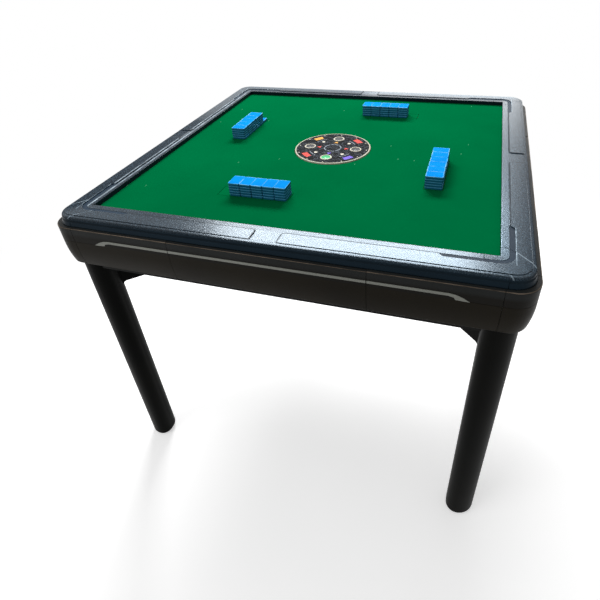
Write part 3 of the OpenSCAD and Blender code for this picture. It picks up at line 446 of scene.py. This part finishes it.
def metal(name, colour, rough):
    """Metal with a drifting tone."""
    g = Graph(name, Metallic=1.0)
    g.paint(g.drift(40, 4, scaled(colour, 0.75), colour, low=0.3))
    g.roughness(rough - 0.08, rough + 0.12, g.noise(220, 3))
    g.bump(g.noise(900, 2), 0.00005)
    return g.material


def cloth_graph(name, sheen):
    """Start of a cloth, and the pattern of its fibres."""
    g = Graph(name, Roughness=0.95, Specular_IOR_Level=0.0, Sheen_Weight=0.02, Sheen_Roughness=0.6,
              Sheen_Tint=sheen)
    fibre = g.noise(1800, 3, rough=0.7)
    return g, fibre, g.ramp(fibre, (0.38, 0.55), (0.62, 0.0))


def felt(name, colour, deeper):
    """Napped cloth: fibre grain, soft sheen, a slow drift of shade, and a few specks of lint."""
    g, fibre, gaps = cloth_graph(name, colour)
    cloth = g.mix(gaps, g.drift(4, 3, deeper, colour, low=0.3), scaled(colour, 0.72))
    lint = g.add("ShaderNodeTexVoronoi", voronoi_dimensions="2D", Scale=26.0)
    g.link(g.turned(Scale=(1, 0.22, 1), Rotation=(0, 0, 0.6)), lint, "Vector")
    pick = g.add("ShaderNodeSeparateColor")
    g.link(lint.outputs["Color"], pick, "Color")
    speck = g.times(g.below(lint.outputs["Distance"], 0.024), g.above(pick.outputs["Red"], 0.8))
    g.paint(g.mix(speck, cloth, LINT_GREEN))
    g.bump(fibre, 0.00035, 0.8)
    return g.material


def lift_cover():
    """Felt on top, fibreboard below it and a grey carriage underneath."""
    g, fibre, gaps = cloth_graph("lift_felt", FELT_GREEN)
    height = g.axis("Z")
    cloth = g.mix(gaps, FELT_GREEN, FELT_DARK)
    wood = g.drift(700, 4, WOOD_DARK, WOOD_PALE, low=0.3)
    carriage = g.drift(30, 3, screen(120, 122, 126), screen(136, 138, 142), low=0.3)
    g.paint(g.mix(g.above(height, BOARD_TOP), g.mix(g.above(height, BOARD_UNDER), carriage, wood), cloth))
    g.roughness(0.75, 0.95, g.noise(60, 2))
    g.bump(fibre, 0.0003, 0.8)
    return g.material


def fibreboard(name):
    g = Graph(name, Specular_IOR_Level=0.2)
    g.paint(g.drift(700, 4, WOOD_DARK, WOOD_PALE, low=0.3))
    g.roughness(0.7, 0.9, g.noise(60, 2))
    g.bump(g.noise(1500, 3), 0.0001)
    return g.material


def tile_plastic(angle):
    """Azure faces over flanks painted a deep teal as shade, with a painted highlight line along each layer
    and painted shade between the layers; the faces are painted paler as highlights where the tiles' edges
    catch the light.
    """
    g = Graph("tile_blue_%d" % angle, Specular_IOR_Level=0.002)
    height = g.math("SUBTRACT", g.axis("Z"), FELT_TOP)
    layer = g.math("FRACT", g.math("DIVIDE", height, LAYER_PITCH))
    # The flanks' colours by layer: painted shade between the layers, a painted shade of teal on the flank,
    # and a painted highlight line at each layer's edge
    dark, shaded_teal, layer_highlight = screen(8, 46, 64), screen(24, 100, 132), screen(84, 164, 206)
    flank = g.ramp(layer, (0.0, dark), (0.1, shaded_teal), (0.6, shaded_teal), (0.72, layer_highlight), (0.9, layer_highlight), (0.98, dark))
    face = g.drift(25, 2, screen(0, 140, 226), screen(2, 152, 242))
    # Painted highlight on the faces' edges, at the seams between tiles and at the row's outer ends
    pale = g.drift(60, 2, screen(34, 160, 234), screen(140, 208, 248), high=0.65)
    local = g.split(g.turned(Rotation=(0, 0, math.radians(-angle))))
    seam = g.math("PINGPONG", g.math("ADD", local.outputs["Y"], ROW_START), TILE_PITCH / 2)
    across = g.math("ABSOLUTE", g.math("SUBTRACT", local.outputs["X"], ROW_DIST))
    edge = g.math("MAXIMUM", g.below(seam, TILE_SEAM), g.above(across, TILE_HALF - TILE_EDGE))
    # Lying faces take the faces' colours, upright flanks the painted shade
    lying = g.ramp(g.facing_up(), (0.25, 0.0), (0.45, 1.0))
    g.paint(g.mix(lying, flank, g.mix(edge, face, pale)))
    g.roughness(0.42, 0.55, g.noise(90, 3))
    g.bump(g.noise(700, 2), 0.00003)
    return g.material


def panel_print():
    """Dark printed ground with pale marbling, inside a cream border."""
    g = Graph("panel_ground", Specular_IOR_Level=0.015)
    warp = g.noise(45, 6, (1, 1.6, 1), 0.65)
    veins = g.ramp(warp, (0.47, screen(4, 6, 10)), (0.5, screen(96, 102, 112)), (0.515, screen(6, 9, 13)),
                   (0.63, screen(26, 30, 36)), (0.66, screen(4, 6, 9)))
    cream = g.drift(90, 3, screen(196, 192, 172), screen(214, 210, 192), low=0.3)
    g.paint(g.mix(g.above(g.radius(0, 0), BORDER_INNER), veins, cream))
    g.roughness(0.16, 0.24, g.noise(60, 3))
    g.bump(g.noise(700, 2), 0.00001)
    return g.material


def key_cap(name, centre, colour, lighter):
    """Clear domed cap over a coloured face, in a cream rim."""
    g = Graph(name, Specular_IOR_Level=0.2, Coat_Weight=0.15, Coat_Roughness=0.08)
    face = g.drift(120, 3, colour, lighter)
    cream = g.drift(150, 3, screen(208, 202, 182), screen(224, 219, 202), low=0.3)
    g.paint(g.mix(g.above(g.radius(*centre), KEY_RIM_INNER), face, cream))
    g.roughness(0.12, 0.22, g.noise(80, 3))
    g.bump(g.noise(500, 2), 0.00002)
    return g.material


TILE_MATERIALS = {side: tile_plastic(angle) for side, angle in SIDES.items()}
materials = {
    "rim_plastic": flake_paint("rim_flake", screen(22, 32, 41), screen(86, 106, 122), screen(21, 31, 39)),
    "inlay_plastic": moulding("inlay_smoke", screen(34, 48, 62), screen(46, 62, 78), 0.4, 0.045),
    "skirt_plastic": skirt_moulding(),
    "strip_plastic": moulding("strip_grey", screen(118, 120, 112), screen(132, 134, 126), 0.38, 0.5),
    "leg_plastic": moulding("leg_black", screen(10, 11, 10), screen(15, 15, 13), 0.42, 0.03),
    "glide_rubber": rubber("glide_rubber", screen(20, 20, 20), screen(30, 30, 30)),
    "bolt_steel": metal("bolt_zinc", screen(190, 192, 196), 0.32),
    "chassis_paint": moulding("chassis_powder", screen(14, 14, 13), screen(20, 20, 18), 0.55, 0.1,
                              grain=1800, depth=0.0002),
    "sheet_steel": metal("sheet_galvanised", screen(176, 178, 182), 0.4),
    "board_wood": fibreboard("board_fibre"),
    "felt": felt("felt_green", FELT_GREEN, FELT_DEEP),
    "lift_board": lift_cover(),
    "tile_plastic": TILE_MATERIALS["right"],
    "channel_plastic": moulding("channel_white", screen(214, 214, 208), screen(226, 226, 221), 0.45, 0.4),
    "pusher_plastic": moulding("pusher_red", screen(180, 50, 38), screen(200, 66, 50), 0.45, 0.4),
    "guide_plastic": moulding("guide_grey", screen(140, 142, 146), screen(156, 158, 162), 0.5, 0.4),
    "column_plastic": moulding("column_grey", screen(50, 50, 54), screen(60, 60, 64), 0.45, 0.4),
    "panel_plastic": panel_print(),
    "key_plastic": moulding("key_black", screen(18, 20, 22), screen(30, 32, 35), 0.12, 0.6),
    "turntable_plastic": moulding("turntable_grey", screen(74, 76, 80), screen(88, 90, 94), 0.5, 0.4),
    "motor_steel": metal("motor_steel", screen(150, 152, 156), 0.38),
    "pulley_alloy": metal("pulley_alloy", screen(190, 192, 196), 0.3),
    "belt_rubber": rubber("belt_rubber", screen(22, 22, 22), screen(32, 32, 32)),
    "box_plastic": moulding("box_grey", screen(190, 192, 188), screen(204, 206, 202), 0.5, 0.4),
    "rocker_plastic": moulding("rocker_red", screen(178, 24, 18), screen(196, 34, 26), 0.3, 0.5),
}


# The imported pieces, with softened edges

SOFT_EDGES = {
    "rim_plastic": 0.2 * MM,
    "skirt_plastic": 0.5 * MM,
    "tile_plastic": 0.8 * MM,
    "strip_plastic": 0.3 * MM,
    "inlay_plastic": 0.2 * MM,
    "panel_plastic": 0.2 * MM,
    "channel_plastic": 0.4 * MM,
    "box_plastic": 0.8 * MM,
    "leg_plastic": 1.0 * MM,
}
FLAT_ANGLE = math.radians(0.4)
SMOOTH_ANGLE = math.radians(32)


def dress(name, slot):
    """Gives a CAD node its material, joins its flat facets and softens its edges."""
    node = frame["nodes"][name]
    node.data.materials.clear()
    node.data.materials.append(materials[slot])
    for polygon in node.data.polygons:
        polygon.use_smooth = True
    if slot in SOFT_EDGES:
        flat = node.modifiers.new("join flat facets", "DECIMATE")
        flat.decimate_type = "DISSOLVE"
        flat.angle_limit = FLAT_ANGLE
        soft = node.modifiers.new("soft edges", "BEVEL")
        soft.width = SOFT_EDGES[slot]
        soft.segments = 2
        soft.limit_method = "ANGLE"
        soft.angle_limit = SMOOTH_ANGLE
        soft.harden_normals = True


for part in frame["record"]["subparts"]:
    dress(part["node"], part["material_slot"])

for side, material in TILE_MATERIALS.items():
    frame["nodes"]["tiles_" + side].data.materials[0] = material

KEY_COLOURS = {"front": (screen(20, 170, 96), screen(40, 200, 120))}
KEY_BLACK = (screen(20, 23, 26), screen(44, 48, 54))
for side, angle in SIDES.items():
    turned = math.radians(angle)
    centre = (KEY_CENTRE * math.cos(turned), KEY_CENTRE * math.sin(turned))
    cap = key_cap("key_cap_" + side, centre, *KEY_COLOURS.get(side, KEY_BLACK))
    frame["nodes"]["key_" + side].data.materials[0] = cap


# Print on the console: small plain motifs, a hair above the panel

def arc(radius, start, stop, steps=16):
    """Points of an arc, in metres, from one angle in degrees to another."""
    turns = [math.radians(start + (stop - start) * i / steps) for i in range(steps + 1)]
    return [(radius * math.cos(t), radius * math.sin(t)) for t in turns]


def band(inner, outer, start, stop):
    """Outline of a curved band round the middle of the panel."""
    return arc(outer, start, stop) + arc(inner, stop, start)


def shape(radius, angle, size, corners):
    """Outline of a small regular shape at a radius and angle."""
    t = math.radians(angle)
    x, y = radius * math.cos(t), radius * math.sin(t)
    spins = [t + math.radians(360 * i / corners) for i in range(corners)]
    return [(x + size * math.cos(a), y + size * math.sin(a)) for a in spins]


def printed(name, colour, outlines):
    """One colour of the print, as thin prisms that ride with the console."""
    shell = bmesh.new()
    for outline in outlines:
        low = [shell.verts.new((x, y, PANEL_TOP - PRINT_THICK)) for x, y in outline]
        high = [shell.verts.new((x, y, PANEL_TOP + PRINT_THICK)) for x, y in outline]
        count = len(outline)
        shell.faces.new(list(reversed(low)))
        shell.faces.new(high)
        for i in range(count):
            j = (i + 1) % count
            shell.faces.new((low[i], low[j], high[j], high[i]))
    mesh = bpy.data.meshes.new(name)
    shell.to_mesh(mesh)
    shell.free()
    piece = bpy.data.objects.new(name, mesh)
    bpy.context.scene.collection.objects.link(piece)
    g = Graph(name, Specular_IOR_Level=0.05)
    g.paint(g.drift(160, 4, scaled(colour, 0.8), colour, high=0.65))
    g.roughness(0.22, 0.34, g.noise(80, 3))
    g.bump(g.noise(900, 2), 0.00002)
    mesh.materials.append(g.material)
    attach(piece, "console")


DIAGONALS = (45, 135, 225, 315)
LABEL = (70 * MM, 85 * MM)
SMALL_RING = 36 * MM
SMALL_SIZE = 7 * MM

red = [band(*LABEL, a - 10, a + 10) for a in (45, 225)]
red += [shape(SMALL_RING, a, SMALL_SIZE, 3) for a in (0, 180)]
yellow = [band(*LABEL, 126, 144), shape(SMALL_RING, 90, SMALL_SIZE, 3)]
violet = [band(*LABEL, 306, 324), shape(SMALL_RING, 270, SMALL_SIZE, 3)]
cream = [shape(50 * MM, a, 5 * MM, 6) for a in DIAGONALS]
cream += [shape(90 * MM, a, 1.8 * MM, 8) for a in range(0, 360, 30)]
grey = [band(20 * MM, 23 * MM, a + 4, a + 56) for a in range(0, 360, 60)]
grey += [band(60 * MM, 62 * MM, a - 14, a + 14) for a in DIAGONALS]

printed("print_red", screen(226, 66, 54), red)
printed("print_yellow", screen(240, 176, 70), yellow)
printed("print_violet", screen(116, 88, 220), violet)
printed("print_cream", screen(232, 226, 208), cream)
printed("print_grey", screen(136, 146, 158), grey)


# The floor and the room

FLOOR_HALF = 15
# How much the camera's view of the floor is lifted, and where it fades to white, in metres from the middle
FLOOR_LIFT = 0.5
FADE_START, FADE_END = 0.7, 1.8
# Strength of the room's light on the object; the camera and reflections see it at 1
ROOM_LEVEL = 0.27


def floor_material():
    """Pale floor. The camera sees it lifted to white, with the table's shadow kept round its feet."""
    g = Graph("floor_pale", Roughness=0.9, Specular_IOR_Level=0.1)
    g.paint(g.drift(2, 2, screen(238, 238, 238), screen(244, 244, 244), low=0.3))
    plain = g.shader.outputs["BSDF"]
    lift = g.add("ShaderNodeEmission", Strength=FLOOR_LIFT)
    near = g.feed(g.add("ShaderNodeAddShader"), ((0, plain), (1, lift.outputs[0])))
    white = g.add("ShaderNodeEmission", Strength=1.0)
    away = g.add("ShaderNodeMapRange", From_Min=FADE_START, From_Max=FADE_END)
    away.interpolation_type = "SMOOTHSTEP"
    g.link(g.radius(0, 0), away, "Value")
    shown = g.add("ShaderNodeMixShader")
    g.feed(shown, ((0, away.outputs["Result"]), (1, near.outputs[0]), (2, white.outputs[0])))
    either = g.add("ShaderNodeMixShader")
    g.feed(either, ((0, seen_rays(g.tree)), (1, plain), (2, shown.outputs[0])))
    g.link(either.outputs[0], g.output, "Surface")
    return g.material


floor_mesh = bpy.data.meshes.new("floor")
corners = [(x * FLOOR_HALF, y * FLOOR_HALF, 0) for x, y in ((-1, -1), (1, -1), (1, 1), (-1, 1))]
floor_mesh.from_pydata(corners, [], [(0, 1, 2, 3)])
floor_mesh.materials.append(floor_material())
floor = bpy.data.objects.new("floor", floor_mesh)
bpy.context.scene.collection.objects.link(floor)

world = bpy.data.worlds.new("studio")
bpy.context.scene.world = world
world.use_nodes = True
tree = world.node_tree
background = tree.nodes["Background"]
background.inputs["Color"].default_value = (1, 1, 1, 1)
level = tree.nodes.new("ShaderNodeMapRange")
level.inputs["To Min"].default_value = ROOM_LEVEL
level.inputs["To Max"].default_value = 1.0
tree.links.new(seen_rays(tree), level.inputs["Value"])
tree.links.new(level.outputs["Result"], background.inputs["Strength"])


# Lamps: each has a place, the point it shines at, its width and height in metres, and its power in watts

def lamp(name, place, target, size, power):
    light = bpy.data.lights.new(name, "AREA")
    light.shape = "RECTANGLE"
    light.size, light.size_y = size
    light.energy = power
    obj = bpy.data.objects.new(name, light)
    bpy.context.scene.collection.objects.link(obj)
    obj.location = place
    obj.rotation_mode = "QUATERNION"
    obj.rotation_quaternion = (Vector(target) - Vector(place)).to_track_quat("-Z", "Y")


lamp("window", (-0.7, 2.6, 2.95), (0.1, -0.45, 0.77), (2.6, 0.9), 193)
lamp("horizon", (0.45, 2.8, 1.42), (0.1, 0.4, 0.77), (2.1, 0.46), 7.5)
lamp("key", (-1.6, -2.2, 2.6), (0, 0, 0.6), (1.6, 1.6), 20)
lamp("overhead", (0.2, -0.2, 3.2), (0, 0, 0.7), (2.4, 2.4), 6)


# The camera, at the viewing angle of the photo: place in metres, turns in radians, lens in pixels

CAMERA_PLACE = (0.3459, -1.1317, 1.2444)
CAMERA_YAW, CAMERA_PITCH, CAMERA_ROLL = 0.3367, 0.628, -0.0601
FOCAL_PX, CENTRE_X_PX, CENTRE_Y_PX = 472.42, 321.61, 263.89
FRAME_PX = 600

camera = bpy.data.cameras.new("camera")
camera.sensor_width = 36
camera.lens = FOCAL_PX / FRAME_PX * camera.sensor_width
camera.shift_x = (FRAME_PX / 2 - CENTRE_X_PX) / FRAME_PX
camera.shift_y = (CENTRE_Y_PX - FRAME_PX / 2) / FRAME_PX
camera.clip_end = 100
camera_object = bpy.data.objects.new("camera", camera)
bpy.context.scene.collection.objects.link(camera_object)
bpy.context.scene.camera = camera_object
ahead = Vector((
    -math.sin(CAMERA_YAW) * math.cos(CAMERA_PITCH),
    math.cos(CAMERA_YAW) * math.cos(CAMERA_PITCH),
    -math.sin(CAMERA_PITCH),
))
level_right = Vector((math.cos(CAMERA_YAW), math.sin(CAMERA_YAW), 0))
level_up = level_right.cross(ahead)
right = math.cos(CAMERA_ROLL) * level_right + math.sin(CAMERA_ROLL) * level_up
up = -math.sin(CAMERA_ROLL) * level_right + math.cos(CAMERA_ROLL) * level_up
turn = Matrix((right, up, -ahead)).transposed().to_4x4()
camera_object.matrix_world = Matrix.Translation(CAMERA_PLACE) @ turn

bpy.context.scene.view_settings.view_transform = "Standard"
